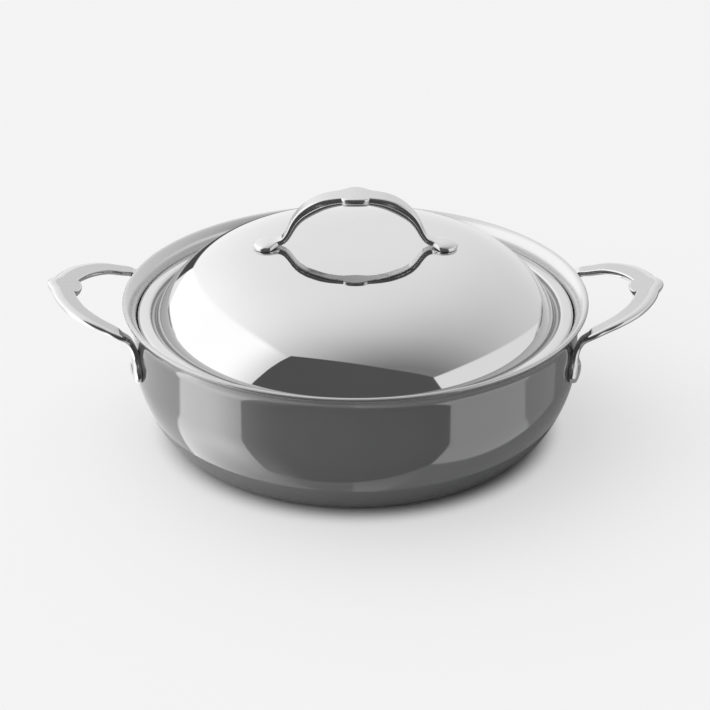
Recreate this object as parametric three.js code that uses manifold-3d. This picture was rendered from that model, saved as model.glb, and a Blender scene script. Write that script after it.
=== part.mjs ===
// Covered dutch oven: a clad steel pot with two riveted loop handles, and a domed lid with an arched handle.
// Millimetres, +Z up, origin at the centre of the base, side handles along X.

import * as THREE from 'three';
import { mergeVertices } from 'three/addons/utils/BufferGeometryUtils.js';
import Module from 'manifold-3d';

// Pot, measured on its outside
const BASE_RADIUS = 111;
const WALL_RADIUS = 143.8;
const BOWL_HEIGHT = 55; // where the bowl's curve has turned upright
const BOWL_FULLNESS = 0.43; // how far the bowl's curve is pulled towards its corner, 0 to 1
const FLARE_START = 80.3; // where the wall starts to turn out into the pouring lip
const FLARE_RADIUS = 13.4;
const FLARE_ANGLE = THREE.MathUtils.degToRad(54);

// Clad sheet: dark steel skin, aluminium core and bright steel liner, bonded
const SKIN_THICKNESS = 0.8;
const CORE_THICKNESS = 1.4;
const LINER_THICKNESS = 0.6;
const BOND_GAP = 0.05;
const SHEET_THICKNESS = SKIN_THICKNESS + CORE_THICKNESS + LINER_THICKNESS + 2 * BOND_GAP;

// Lid, measured on its upper side
const DOME_RADIUS = 128.8;
const DOME_RISE = 45;
const DOME_FLATNESS = 4.45; // power of the radius in the dome's formula
const DOME_SHOULDER = 0.92; // power that rounds the dome's shoulder
const FLANGE_HEIGHT = 84.6; // upper side of the flange above the table
const GROOVE_RADIUS = 1.5;
const FLANGE_ROUND = 2; // where the groove turns out into the flange
const DOME_FOOT = FLANGE_HEIGHT - FLANGE_ROUND; // height where the dome runs into the groove
const LID_RADIUS = 140.7; // turned-down outer edge
const LID_EDGE_ROUND = 2.4;
const LID_THICKNESS = 1;

// Side handles: loops of strap whose flat face lies on the wall at the feet and turns up in the grip
const FOOT_BEARING = THREE.MathUtils.degToRad(17.5); // of a foot's centre from the X axis
const FOOT_BOTTOM = 51.7;
const NECK_HEIGHT = 71.8; // where the strap leaves the wall
const GRIP_REACH = 187.1; // middle of the grip from the pot's axis
const GRIP_HEIGHT = 101.1; // its flat face above the table
const GRIP_TILT = THREE.MathUtils.degToRad(15.4);
const BEND_MIDDLE = { reach: 0.36, rise: 0.62 }; // shares of the bend from the wall to an arm
const ARM_SAG = 1.5; // of an arm below the tilted plane, where it meets the neck
// Where the face turns up, counted in lengths from a foot's tip to where the strap leaves the wall
const FACE_TURN = { start: 0.8, end: 2 };
const SIDE_STRAP = {
  footRadius: 9.8, footThickness: 5.4, // drop-shaped feet
  neckAt: 18, neckWidth: 8.4, neckThickness: 4.4, // the waist above a foot, from the foot's tip
  gripInner: 6.5, gripOuter: 8, gripThickness: 6.4, // from the path to each side
  haunch: { at: 27, half: 22, extra: 0.4 }, // the thickest part of an arm, counted from the middle
  innerLobe: { half: 10.5, depth: 5 }, // rounded, on the pot's side of the grip
  outerLobe: { half: 8.5, depth: 2.8 }, // drawn out to a soft point
  footEdge: { across: 1.1, deep: 0.2 }, // rounding of the face's edge, and its share of the thickness
  gripEdge: { across: 4.8, deep: 0.42 }, // the same on the outer side of the grip
  tipThickness: 0.5, edgeRound: 0.2, bellyDeep: 0.54, // shares of the thickness
  armBelly: 0.8, gripBelly: 0.3, // share of the half width that the belly's curve takes
  outerGrip: 30, // from the middle, how far the outer edge's full height runs out along an arm
  low: -1, high: 0, // where the strap lies from its path, in thicknesses
};

// Lid handle: an arch of strap whose under side stands on the dome at the feet
const ARCH_HEIGHT = 157.5; // under side of the arch above the table
const LID_FOOT_REACH = 65.2; // tip of a foot from the lid's axis
const LID_STRAP = {
  footRadius: 9.6, footThickness: 4.4,
  neckAt: 18, neckWidth: 8.2, neckThickness: 3.9,
  gripInner: 7.1, gripOuter: 7.1, gripThickness: 6,
  haunch: { at: 27, half: 22, extra: 2.2 },
  innerLobe: { half: 8.2, depth: 4.4 },
  outerLobe: { half: 12, depth: 4.2 },
  footEdge: { across: 4.6, deep: 0.55 },
  gripEdge: { across: 1.4, deep: 0.25 },
  tipThickness: 0.5, edgeRound: 0.25, bellyDeep: 0.4,
  armBelly: 0.3, gripBelly: 0.3,
  outerGrip: 30,
  low: 0, high: 1,
};

// Rivets
const RIVET_RADIUS = 3.6;
const RIVET_HEAD_RADIUS = 6.4;
const RIVET_HEAD_DEPTH = 1.8;
const RIVET_HEIGHT = FOOT_BOTTOM + SIDE_STRAP.footRadius;
const LID_RIVET_RADIUS = 2.5;
const LID_RIVET_HEAD_RADIUS = 5;
const LID_RIVET_HEAD_DEPTH = 1.6;
const LID_RIVET_DEPTH = 2.4; // how deep its shank sits in a foot
const LID_RIVET_REACH = LID_FOOT_REACH - LID_STRAP.footRadius;
const CLEARANCE = 0.3; // between a piece and its cut seat
const HOLE_OVERRUN = 1; // how far a hole's cutter runs past the curved wall

// Fineness of the solids
const TURN_STEPS = 44;
const RIVET_STEPS = 16;
const BOWL_STEPS = 5;
const FLARE_STEPS = 3;
const DOME_STEPS = 7;
const GROOVE_STEPS = 4;
const EDGE_STEPS = 2;
const FOOT_STEPS = 5;
const ARM_STEPS = 10;
const LOBE_STEPS = 4;
const CORNER_STEPS = 2;
const LENGTH_STEPS = 800; // for measuring along a path
const MERGE_DISTANCE = 1e-4;
const TIP_EDGE = 0.6; // most of a foot's half width that its edge's rounding takes

const wasm = await Module();
wasm.setup();

// Closed solids

// Makes a solid of a closed mesh, whichever way its faces were wound.
function solidOf(geometry) {
  geometry.deleteAttribute('normal');
  geometry.deleteAttribute('uv');
  const merged = mergeVertices(geometry, MERGE_DISTANCE);
  const position = merged.attributes.position;
  const corner = [0, 1, 2].map(() => new THREE.Vector3());
  const triangles = [];
  let volume = 0;
  for (let i = 0; i < merged.index.count; i += 3) {
    const [a, b, c] = [0, 1, 2].map((k) => merged.index.getX(i + k));
    if (a === b || b === c || c === a) continue;
    triangles.push(a, b, c);
    [a, b, c].forEach((index, k) => corner[k].fromBufferAttribute(position, index));
    volume += corner[0].dot(corner[1].cross(corner[2]));
  }
  if (volume < 0) triangles.reverse();
  return new wasm.Manifold(new wasm.Mesh({
    numProp: 3, vertProperties: position.array, triVerts: new Uint32Array(triangles),
  }));
}

function geometryOf(solid) {
  const { vertProperties, triVerts } = solid.getMesh();
  const geometry = new THREE.BufferGeometry();
  geometry.setAttribute('position', new THREE.BufferAttribute(vertProperties, 3));
  geometry.setIndex(new THREE.BufferAttribute(triVerts, 1));
  geometry.computeVertexNormals();
  return geometry;
}

// Turns a profile of radius and height, which starts and ends on the axis, round +Z.
function turned(profile, steps = TURN_STEPS) {
  const geometry = new THREE.LatheGeometry(profile, steps);
  geometry.rotateX(Math.PI / 2);
  return geometry;
}

// Joins rings with the same number of points, and closes both ends.
function lofted(rings) {
  const count = rings[0].length;
  const last = (rings.length - 1) * count;
  const index = [];
  for (let i = 0; i < rings.length - 1; i++) {
    for (let k = 0; k < count; k++) {
      const a = i * count + k;
      const b = i * count + (k + 1) % count;
      index.push(a, b, a + count, b, b + count, a + count);
    }
  }
  for (let k = 1; k < count - 1; k++) {
    index.push(0, k + 1, k, last, last + k, last + k + 1);
  }
  const geometry = new THREE.BufferGeometry().setFromPoints(rings.flat());
  geometry.setIndex(index);
  return geometry;
}

// Pot

// Points along a curve of radius and height, moved off it by a depth to the curve's left.
function offsetPoints(curve, steps, depth) {
  const points = [];
  for (let i = 0; i <= steps; i++) {
    const tangent = curve.getTangent(i / steps);
    const normal = new THREE.Vector2(-tangent.y, tangent.x);
    points.push(curve.getPoint(i / steps).addScaledVector(normal, depth));
  }
  return points;
}

// The pot's side from the base's edge to the end of the flare, at a depth inside the outer surface.
function potSide(depth) {
  const bowlReach = WALL_RADIUS - BASE_RADIUS;
  const bowl = new THREE.CubicBezierCurve(
    new THREE.Vector2(BASE_RADIUS, 0),
    new THREE.Vector2(BASE_RADIUS + BOWL_FULLNESS * bowlReach, 0),
    new THREE.Vector2(WALL_RADIUS, BOWL_HEIGHT * (1 - BOWL_FULLNESS)),
    new THREE.Vector2(WALL_RADIUS, BOWL_HEIGHT),
  );
  const flare = new THREE.EllipseCurve(
    WALL_RADIUS + FLARE_RADIUS, FLARE_START, FLARE_RADIUS, FLARE_RADIUS,
    Math.PI, Math.PI - FLARE_ANGLE, true,
  );
  return [...offsetPoints(bowl, BOWL_STEPS, depth), ...offsetPoints(flare, FLARE_STEPS, depth)];
}

// A point of the lip's rounded end, at a depth inside the outer surface.
function lipEnd(depth) {
  const half = SHEET_THICKNESS / 2;
  const reach = Math.sqrt(Math.max(0, half * half - (depth - half) ** 2));
  const along = new THREE.Vector2(Math.sin(FLARE_ANGLE), Math.cos(FLARE_ANGLE));
  return potSide(depth).at(-1).addScaledVector(along, reach);
}

// One layer of the clad sheet, between two depths inside the outer surface.
function potLayer(outer, inner) {
  const middle = (outer + inner) / 2;
  const profile = [
    new THREE.Vector2(0, outer),
    ...potSide(outer),
    ...[outer, middle, inner].map(lipEnd),
    ...potSide(inner).reverse(),
    new THREE.Vector2(0, inner),
  ];
  return solidOf(turned(profile));
}

// Rivets

// Profile of a rivet from its head to the end of its shank. A hole's profile is wider by a margin,
// and runs over both ends.
function rivetProfile({ headRadius, headDepth, headBack, radius, start, end }, margin, overrun) {
  return [
    [0, start - overrun],
    [headRadius + margin, start - overrun],
    [headRadius + margin, start],
    [headBack + margin, start + headDepth],
    [radius + margin, start + headDepth],
    [radius + margin, end + overrun],
    [0, end + overrun],
  ].map(([r, z]) => new THREE.Vector2(r, z));
}

// A wall rivet on the +X axis: countersunk and flush with the liner inside, flush with the foot outside.
const WALL_RIVET = {
  headRadius: RIVET_HEAD_RADIUS,
  headDepth: RIVET_HEAD_DEPTH,
  headBack: RIVET_RADIUS,
  radius: RIVET_RADIUS,
  start: WALL_RADIUS - SHEET_THICKNESS,
  end: WALL_RADIUS + SIDE_STRAP.footThickness,
};

function wallRivet() {
  return turned(rivetProfile(WALL_RIVET, 0, 0), RIVET_STEPS).rotateY(Math.PI / 2);
}

function wallRivetHole() {
  return turned(rivetProfile(WALL_RIVET, CLEARANCE, HOLE_OVERRUN), RIVET_STEPS).rotateY(Math.PI / 2);
}

// Straps with drop-shaped feet

// Distances along half a strap, from a foot's tip to the middle, closest where the outline turns fastest.
function strapStations(half, { footRadius, innerLobe }) {
  const quarter = Math.PI / 2;
  const stations = [];
  for (let i = 1; i <= FOOT_STEPS; i++) {
    stations.push(footRadius * (1 - Math.cos(quarter * i / FOOT_STEPS)));
  }
  for (let i = 1; i <= ARM_STEPS; i++) {
    stations.push(THREE.MathUtils.lerp(footRadius, half - innerLobe.half, i / ARM_STEPS));
  }
  for (let i = 1; i <= LOBE_STEPS; i++) {
    stations.push(half - innerLobe.half * Math.cos(quarter * i / LOBE_STEPS));
  }
  return stations;
}

// How far a strap reaches to each side of its path, its edges and its thickness, at a distance from its
// foot's tip.
function strapSize(distance, half, strap) {
  const { lerp, smoothstep, clamp } = THREE.MathUtils;
  const { footRadius, neckAt, innerLobe, outerLobe } = strap;
  const round = Math.min(distance, footRadius);
  const neck = smoothstep(distance, footRadius, neckAt);
  const grip = smoothstep(distance, neckAt, half - innerLobe.half);
  const foot = Math.sqrt(round * (2 * footRadius - round));
  const armWidth = lerp(foot, strap.neckWidth / 2, neck);
  const innerShare = clamp((half - distance) / innerLobe.half, 0, 1);
  const outerShare = clamp((half - distance) / outerLobe.half, 0, 1);
  const innerSwell = Math.sqrt(1 - innerShare ** 2);
  const outerSwell = (1 + Math.cos(Math.PI * outerShare)) / 2;
  const footThickness = strap.footThickness * lerp(strap.tipThickness, 1, round / footRadius);
  const fromHaunch = clamp((half - distance - strap.haunch.at) / strap.haunch.half, -1, 1);
  const thickness = lerp(lerp(footThickness, strap.neckThickness, neck), strap.gripThickness, grip)
    + strap.haunch.extra * (1 + Math.cos(Math.PI * fromHaunch)) / 2;
  const edge = strap.edgeRound * thickness;
  const innerEdge = {
    across: lerp(Math.min(strap.footEdge.across, TIP_EDGE * armWidth), edge, neck),
    deep: lerp(strap.footEdge.deep * thickness, edge, neck),
  };
  return {
    inner: lerp(armWidth, strap.gripInner, grip) + innerLobe.depth * innerSwell,
    outer: lerp(armWidth, strap.gripOuter, grip) + outerLobe.depth * outerSwell,
    innerEdge,
    outerEdge: {
      across: lerp(innerEdge.across, strap.gripEdge.across, grip),
      deep: lerp(innerEdge.deep, strap.gripEdge.deep * thickness, grip),
    },
    innerBelly: lerp(strap.armBelly, strap.gripBelly, innerSwell),
    outerBelly: lerp(strap.gripBelly, strap.armBelly, smoothstep(half - distance, 0, strap.outerGrip)),
    thickness,
  };
}

// Outline of a strap's section: a flat face with rounded edges over a belly.
function strapSection({ inner, outer, innerEdge, outerEdge, innerBelly, outerBelly, thickness }, strap) {
  const points = [];
  const half = thickness / 2;
  const deepBelly = strap.bellyDeep * thickness;
  const corners = [
    [inner, 1, innerEdge.across, innerEdge.deep],
    [-outer, 1, outerEdge.across, outerEdge.deep],
    [-outer, -1, outerBelly * outer, deepBelly],
    [inner, -1, innerBelly * inner, deepBelly],
  ];
  corners.forEach(([sideways, upward, across, deep], quarter) => {
    for (let i = 0; i <= CORNER_STEPS; i++) {
      const angle = Math.PI / 2 * (quarter + i / CORNER_STEPS);
      points.push(new THREE.Vector2(
        sideways - Math.sign(sideways) * across + across * Math.cos(angle),
        upward * (half - deep) + deep * Math.sin(angle),
      ));
    }
  });
  return points;
}

// Sweeps a strap along a symmetric path. faceAt gives the way that the flat face looks, at a share
// of the path's length.
function strapSolid(path, strap, faceAt) {
  const length = path.getLength();
  const half = length / 2;
  const firstHalf = strapStations(half, strap);
  const stations = [...firstHalf, ...firstHalf.slice(0, -1).reverse().map((distance) => length - distance)];
  const rings = stations.map((distance) => {
    const share = distance / length;
    const tangent = path.getTangentAt(share);
    const face = faceAt(share);
    face.addScaledVector(tangent, -face.dot(tangent)).normalize();
    const across = new THREE.Vector3().crossVectors(tangent, face);
    const size = strapSize(Math.min(distance, length - distance), half, strap);
    const lift = (strap.low + strap.high) / 2 * size.thickness;
    const middle = path.getPointAt(share).addScaledVector(face, lift);
    return strapSection(size, strap).map(
      ({ x, y }) => middle.clone().addScaledVector(across, x).addScaledVector(face, y));
  });
  return solidOf(lofted(rings));
}

// A path through points of one half, from a foot's tip to the middle, and through their mirror images.
function mirroredPath(halfPoints, mirror) {
  const otherHalf = halfPoints.slice(0, -1).reverse().map((point) => point.clone().multiply(mirror));
  const path = new THREE.CatmullRomCurve3([...halfPoints, ...otherHalf]);
  path.arcLengthDivisions = LENGTH_STEPS;
  return path;
}

// Side handles

// A point at a distance from the pot's axis, on a foot's bearing.
function onBearing(radius, height) {
  return new THREE.Vector3(radius * Math.cos(FOOT_BEARING), radius * Math.sin(FOOT_BEARING), height);
}

// The flat face's line: up the wall from a foot's tip, out round the neck, and along the tilted loop.
function sideHandlePath() {
  const grip = (inset, sideways, sag = 0) => new THREE.Vector3(
    GRIP_REACH - inset, sideways, GRIP_HEIGHT - inset * Math.tan(GRIP_TILT) - sag);
  const armStart = grip(39.4, 48.2, ARM_SAG);
  const bendReach = Math.hypot(armStart.x, armStart.y) - WALL_RADIUS;
  const bendRise = armStart.z - NECK_HEIGHT;
  return mirroredPath([
    onBearing(WALL_RADIUS, FOOT_BOTTOM),
    onBearing(WALL_RADIUS, (FOOT_BOTTOM + NECK_HEIGHT) / 2),
    onBearing(WALL_RADIUS, NECK_HEIGHT),
    onBearing(
      WALL_RADIUS + bendReach * BEND_MIDDLE.reach,
      NECK_HEIGHT + bendRise * BEND_MIDDLE.rise,
    ),
    armStart,
    grip(32.3, 45.1, ARM_SAG / 2),
    grip(22.4, 40.8),
    grip(12.4, 31.8),
    grip(5.6, 21),
    grip(1.2, 9),
    grip(0, 0),
  ], new THREE.Vector3(1, -1, 1));
}

function sideHandle() {
  const path = sideHandlePath();
  const neckShare = (NECK_HEIGHT - FOOT_BOTTOM) / path.getLength();
  const upward = new THREE.Vector3(-Math.sin(GRIP_TILT), 0, Math.cos(GRIP_TILT));
  const faceAt = (share) => {
    const fromEnd = Math.min(share, 1 - share);
    const side = share < 0.5 ? 1 : -1;
    const inward = new THREE.Vector3(-Math.cos(FOOT_BEARING), -side * Math.sin(FOOT_BEARING), 0);
    const turn = THREE.MathUtils.smoothstep(fromEnd / neckShare, FACE_TURN.start, FACE_TURN.end);
    return inward.lerp(upward, turn);
  };
  const seat = turned([
    new THREE.Vector2(0, 0),
    new THREE.Vector2(WALL_RADIUS + CLEARANCE, 0),
    new THREE.Vector2(WALL_RADIUS + CLEARANCE, FLARE_START),
    new THREE.Vector2(0, FLARE_START),
  ]);
  let solid = strapSolid(path, SIDE_STRAP, faceAt).subtract(solidOf(seat));
  for (const side of [1, -1]) {
    const hole = wallRivetHole().rotateZ(side * FOOT_BEARING).translate(0, 0, RIVET_HEIGHT);
    solid = solid.subtract(solidOf(hole));
  }
  return solid;
}

// Lid

function domeHeight(radius) {
  const share = Math.max(0, 1 - (radius / DOME_RADIUS) ** DOME_FLATNESS);
  return DOME_FOOT + DOME_RISE * share ** DOME_SHOULDER;
}

// The lid's upper side from its apex to the bottom of its turned-down edge.
function lidUpperSide() {
  const quarter = Math.PI / 2;
  const dome = [];
  for (let i = 0; i <= DOME_STEPS; i++) {
    const radius = DOME_RADIUS * Math.sin(quarter * i / DOME_STEPS);
    dome.push(new THREE.Vector2(radius, domeHeight(radius)));
  }
  const grooveEnd = DOME_RADIUS + 2 * GROOVE_RADIUS;
  const groove = new THREE.EllipseCurve(
    DOME_RADIUS + GROOVE_RADIUS, DOME_FOOT, GROOVE_RADIUS, GROOVE_RADIUS,
    -Math.PI, 0, false,
  );
  const flangeRound = new THREE.EllipseCurve(
    grooveEnd + FLANGE_ROUND, DOME_FOOT, FLANGE_ROUND, FLANGE_ROUND,
    Math.PI, quarter, true,
  );
  const edge = new THREE.EllipseCurve(
    LID_RADIUS - LID_EDGE_ROUND, FLANGE_HEIGHT - LID_EDGE_ROUND, LID_EDGE_ROUND, LID_EDGE_ROUND,
    quarter, 0, true,
  );
  return [dome, groove.getPoints(GROOVE_STEPS), flangeRound.getPoints(1), edge.getPoints(EDGE_STEPS)].flat();
}

// Moves each point of a profile to its right by the sheet's thickness.
function underSide(profile) {
  return profile.map((point, i) => {
    const before = profile[Math.max(0, i - 1)];
    const after = profile[Math.min(profile.length - 1, i + 1)];
    const tangent = after.clone().sub(before).normalize();
    return new THREE.Vector2(point.x + tangent.y * LID_THICKNESS, point.y - tangent.x * LID_THICKNESS);
  });
}

// A lid rivet standing on the origin, with its head below the sheet and its shank up into the foot.
const LID_RIVET = {
  headRadius: LID_RIVET_HEAD_RADIUS,
  headDepth: LID_RIVET_HEAD_DEPTH,
  headBack: LID_RIVET_HEAD_RADIUS,
  radius: LID_RIVET_RADIUS,
  start: -LID_THICKNESS - CLEARANCE - LID_RIVET_HEAD_DEPTH,
  end: LID_RIVET_DEPTH,
};

function lidRivet() {
  return turned(rivetProfile(LID_RIVET, 0, 0), RIVET_STEPS);
}

function lidRivetHole() {
  return turned(rivetProfile(LID_RIVET, CLEARANCE, CLEARANCE), RIVET_STEPS);
}

// Stands a piece on the dome, square to it, on the +X or the -X side.
function onDome(geometry, side) {
  const step = 0.5;
  const fall = domeHeight(LID_RIVET_REACH - step) - domeHeight(LID_RIVET_REACH + step);
  return geometry
    .rotateY(side * Math.atan2(fall, 2 * step))
    .translate(side * LID_RIVET_REACH, 0, domeHeight(LID_RIVET_REACH));
}

function lidCover() {
  const upper = lidUpperSide();
  const under = underSide(upper);
  under[0].x = 0;
  let solid = solidOf(turned([...upper, ...under.reverse()]));
  for (const side of [1, -1]) {
    solid = solid.subtract(solidOf(onDome(lidRivetHole(), side)));
  }
  return solid;
}

// The under side's line: in along the dome from a foot's tip, then up and over the arch.
function lidHandlePath() {
  const standing = (reach) => new THREE.Vector3(-reach, 0, domeHeight(reach) + CLEARANCE);
  const rising = (reach, drop) => new THREE.Vector3(-reach, 0, ARCH_HEIGHT - drop);
  return mirroredPath([
    standing(LID_FOOT_REACH),
    standing(LID_FOOT_REACH - 0.5 * LID_STRAP.footRadius),
    standing(LID_RIVET_REACH),
    standing(LID_FOOT_REACH - 1.5 * LID_STRAP.footRadius),
    rising(44.4, 27.6),
    rising(40.6, 22.3),
    rising(37.8, 17.2),
    rising(33.6, 12.3),
    rising(25, 6.7),
    rising(15.5, 2.4),
    rising(0, 0),
  ], new THREE.Vector3(-1, 1, 1));
}

function lidHandle() {
  const upward = () => new THREE.Vector3(0, 0, 1);
  let solid = strapSolid(lidHandlePath(), LID_STRAP, upward);
  for (const side of [1, -1]) {
    solid = solid.subtract(solidOf(onDome(lidRivetHole(), side)));
  }
  return solid;
}

// Materials

const FINISHES = {
  darkSkin: { color: 0x55565a, roughness: 0.28, metalness: 1 },
  aluminium: { color: 0xc9cacc, roughness: 0.5, metalness: 1 },
  brushedSteel: { color: 0xc4c4c4, roughness: 0.3, metalness: 1 },
  castSteel: { color: 0xcfcfcf, roughness: 0.2, metalness: 1 },
  mirrorSteel: { color: 0xd6d6d6, roughness: 0.05, metalness: 1 },
};

function piece(name, geometry, finish) {
  const mesh = new THREE.Mesh(geometry, new THREE.MeshStandardMaterial(FINISHES[finish]));
  mesh.name = name;
  return mesh;
}

// Assembly

function buildPot() {
  const pot = new THREE.Group();
  const handle = geometryOf(sideHandle());
  const holes = [];
  const sides = [['right', 0], ['left', Math.PI]];
  for (const [sideName, turn] of sides) {
    const group = new THREE.Group();
    group.rotation.z = turn;
    group.add(piece(`${sideName}_side_handle`, handle.clone(), 'castSteel'));
    for (const end of [1, -1]) {
      const endName = (end > 0) === (turn === 0) ? 'back' : 'front';
      const rivet = piece(`${sideName}_${endName}_rivet`, geometryOf(solidOf(wallRivet())), 'castSteel');
      rivet.rotation.z = end * FOOT_BEARING;
      rivet.position.z = RIVET_HEIGHT;
      group.add(rivet);
      const hole = wallRivetHole().rotateZ(end * FOOT_BEARING + turn).translate(0, 0, RIVET_HEIGHT);
      holes.push(solidOf(hole));
    }
    pot.add(group);
  }
  const coreDepth = SKIN_THICKNESS + BOND_GAP;
  const linerDepth = coreDepth + CORE_THICKNESS + BOND_GAP;
  const layers = [
    ['pot_outer_shell', 0, SKIN_THICKNESS, 'darkSkin'],
    ['pot_aluminium_core', coreDepth, coreDepth + CORE_THICKNESS, 'aluminium'],
    ['pot_inner_liner', linerDepth, SHEET_THICKNESS, 'brushedSteel'],
  ];
  for (const [name, outer, inner, finish] of layers) {
    const drilled = holes.reduce((layer, hole) => layer.subtract(hole), potLayer(outer, inner));
    pot.add(piece(name, geometryOf(drilled), finish));
  }
  return pot;
}

function buildLid() {
  const lid = new THREE.Group();
  lid.add(piece('lid_cover', geometryOf(lidCover()), 'mirrorSteel'));
  lid.add(piece('lid_handle', geometryOf(lidHandle()), 'castSteel'));
  for (const [sideName, side] of [['right', 1], ['left', -1]]) {
    const rivet = geometryOf(solidOf(onDome(lidRivet(), side)));
    lid.add(piece(`lid_handle_${sideName}_rivet`, rivet, 'castSteel'));
  }
  return lid;
}

const dutchOven = new THREE.Group();
dutchOven.add(buildPot(), buildLid());

export default dutchOven;
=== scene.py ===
import math

import bmesh
import bpy
import numpy as np
from mathutils import Matrix


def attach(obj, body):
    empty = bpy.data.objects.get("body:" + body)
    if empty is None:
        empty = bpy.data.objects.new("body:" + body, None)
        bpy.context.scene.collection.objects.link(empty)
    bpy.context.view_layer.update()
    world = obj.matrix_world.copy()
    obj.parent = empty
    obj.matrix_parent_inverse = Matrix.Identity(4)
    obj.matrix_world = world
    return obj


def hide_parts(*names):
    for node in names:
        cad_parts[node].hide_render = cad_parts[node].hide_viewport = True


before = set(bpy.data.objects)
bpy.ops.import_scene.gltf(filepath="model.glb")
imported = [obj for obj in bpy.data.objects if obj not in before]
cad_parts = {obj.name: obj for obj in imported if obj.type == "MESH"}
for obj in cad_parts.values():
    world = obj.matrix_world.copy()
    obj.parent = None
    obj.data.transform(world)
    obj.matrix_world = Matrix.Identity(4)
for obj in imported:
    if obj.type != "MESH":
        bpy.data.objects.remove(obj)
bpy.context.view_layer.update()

MM = 0.001

# Pot, in millimetres, measured on its outside
BASE_RADIUS = 111
WALL_RADIUS = 143.8
BOWL_HEIGHT = 55
BOWL_FULLNESS = 0.43
FLARE_START = 80.3
FLARE_RADIUS = 13.4
FLARE_ANGLE = math.radians(54)
SKIN_THICKNESS = 0.8
CORE_THICKNESS = 1.4
LINER_THICKNESS = 0.6
BOND_GAP = 0.05
SHEET_THICKNESS = SKIN_THICKNESS + CORE_THICKNESS + LINER_THICKNESS + 2 * BOND_GAP
LIP_ROUND = 0.97  # depth of the lip's rounded end, as a share of a half circle's

# Lid, measured on its upper side
DOME_RADIUS = 128.8
DOME_RISE = 45
DOME_FLATNESS = 4.45
DOME_SHOULDER = 0.92
FLANGE_HEIGHT = 84.6
GROOVE_RADIUS = 1.5
FLANGE_ROUND = 2
DOME_FOOT = FLANGE_HEIGHT - FLANGE_ROUND  # height where the dome runs into the groove
LID_RADIUS = 140.7
LID_EDGE_ROUND = 2.4
LID_THICKNESS = 1

# Side handles
FOOT_BEARING = math.radians(17.5)
FOOT_BOTTOM = 51.7
NECK_HEIGHT = 71.8
GRIP_REACH = 187.1
GRIP_HEIGHT = 101.1
GRIP_TILT = math.radians(15.4)
BEND_MIDDLE = (0.36, 0.62)  # shares of the bend's reach and rise, from the wall to an arm
ARM_SAG = 1.5  # of an arm below the tilted plane, where it meets the neck
FACE_TURN = (0.8, 2)  # where the face turns up, in lengths from a foot's tip to the neck
SIDE_STRAP = {
    "foot_radius": 9.8, "foot_thickness": 5.4,
    "neck_at": 18, "neck_width": 8.4, "neck_thickness": 4.4,
    "grip_inner": 6.5, "grip_outer": 8, "grip_thickness": 6.4,
    "haunch": (27, 22, 0.4),  # place from the middle, half length and extra thickness
    "inner_lobe": (10.5, 5), "outer_lobe": (8.5, 2.7),  # half length and depth
    "foot_edge": (1.1, 0.2), "grip_edge": (4.8, 0.42),  # across, and deep as a share of the thickness
    "tip_thickness": 0.5, "edge_round": 0.2, "belly_deep": (0.76, 0.76),  # at a foot and along an arm
    "arm_belly": 0.8, "grip_belly": 0.3, "outer_grip": 30,
    "ridge": 0,  # height of the parting line along the sides
    "satin_from": 42,  # where the satin of the flat face starts, from a foot's tip
    "lift": -0.5,  # middle of the strap off its path, in thicknesses
}

# Lid handle
ARCH_HEIGHT = 157.5
LID_FOOT_REACH = 65.2
LID_STRAP = {
    "foot_radius": 9.6, "foot_thickness": 4.4,
    "neck_at": 18, "neck_width": 8.2, "neck_thickness": 3.9,
    "grip_inner": 7.1, "grip_outer": 7.1, "grip_thickness": 6,
    "haunch": (27, 22, 2.2),
    "inner_lobe": (8.2, 4.4), "outer_lobe": (12, 4.2),
    "foot_edge": (6.2, 0.86), "grip_edge": (1.4, 0.25),
    "tip_thickness": 0.5, "edge_round": 0.25, "belly_deep": (0.08, 0.4),
    "arm_belly": 0.3, "grip_belly": 0.3, "outer_grip": 30,
    "ridge": 0.24,
    "satin_from": 24,
    "lift": 0.5,
}

# Sections of all straps
TIP_EDGE = 0.75  # most of a foot's half width that its edge's rounding takes
WALL_SHARE = 0.04  # least share of the thickness that stays straight between an edge and a belly
RIDGE_AT = 0.08  # place of the parting line on a straight side, as a share of it from the belly
RIDGE_FADE = 8  # length over which the parting line rises out of the neck

# Rivets
RIVET_RADIUS = 3.6
RIVET_HEAD_RADIUS = 6.4
RIVET_HEIGHT = FOOT_BOTTOM + SIDE_STRAP["foot_radius"]
RIVET_CROWN = 0.25  # how far an end bulges
LID_RIVET_RADIUS = 2.5
LID_RIVET_HEAD_RADIUS = 5
LID_RIVET_HEAD_DEPTH = 1.6
LID_RIVET_DEPTH = 2.4
LID_RIVET_REACH = LID_FOOT_REACH - LID_STRAP["foot_radius"]

# Gaps
CLEARANCE = 0.3  # of the lid handle's path over the dome
SNUG = 0.05  # left under a foot and over a lid rivet's head

# Fineness
TURN_STEPS = 240
RIVET_STEPS = 48
BOWL_STEPS = 40
FLARE_STEPS = 20
LIP_STEPS = 6
DOME_STEPS = 64
GROOVE_STEPS = 20
ROUND_STEPS = 8
FOOT_STEPS = 18
ARM_STEPS = 90
LOBE_STEPS = 22
CORNER_STEPS = 8
FACE_SHARES = (0.03, 0.1, 0.3, 0.5, 0.7, 0.9, 0.97)  # extra points across a flat face
SIDE_SHARES = (RIDGE_AT, 0.16, 0.5, 0.84, 1 - RIDGE_AT)  # along a straight side
BELLY_SHARES = (0.08, 0.5, 0.92)  # and between the bellies
FLAT_EDGES = (CORNER_STEPS, CORNER_STEPS + len(FACE_SHARES) + 1)  # edges of a section on its flat face
SPAN_STEPS = 80
PATH_SAMPLES = 1200
PATH_BLEND = 2  # millimetres over which the path's bends are eased
SHARP_ANGLE = math.radians(40)
ON_AXIS = 1e-3  # millimetres from the axis that count as on it
QUARTER_TURN = [math.pi / 2 * i / ROUND_STEPS for i in range(ROUND_STEPS + 1)]


# Small helpers

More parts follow.
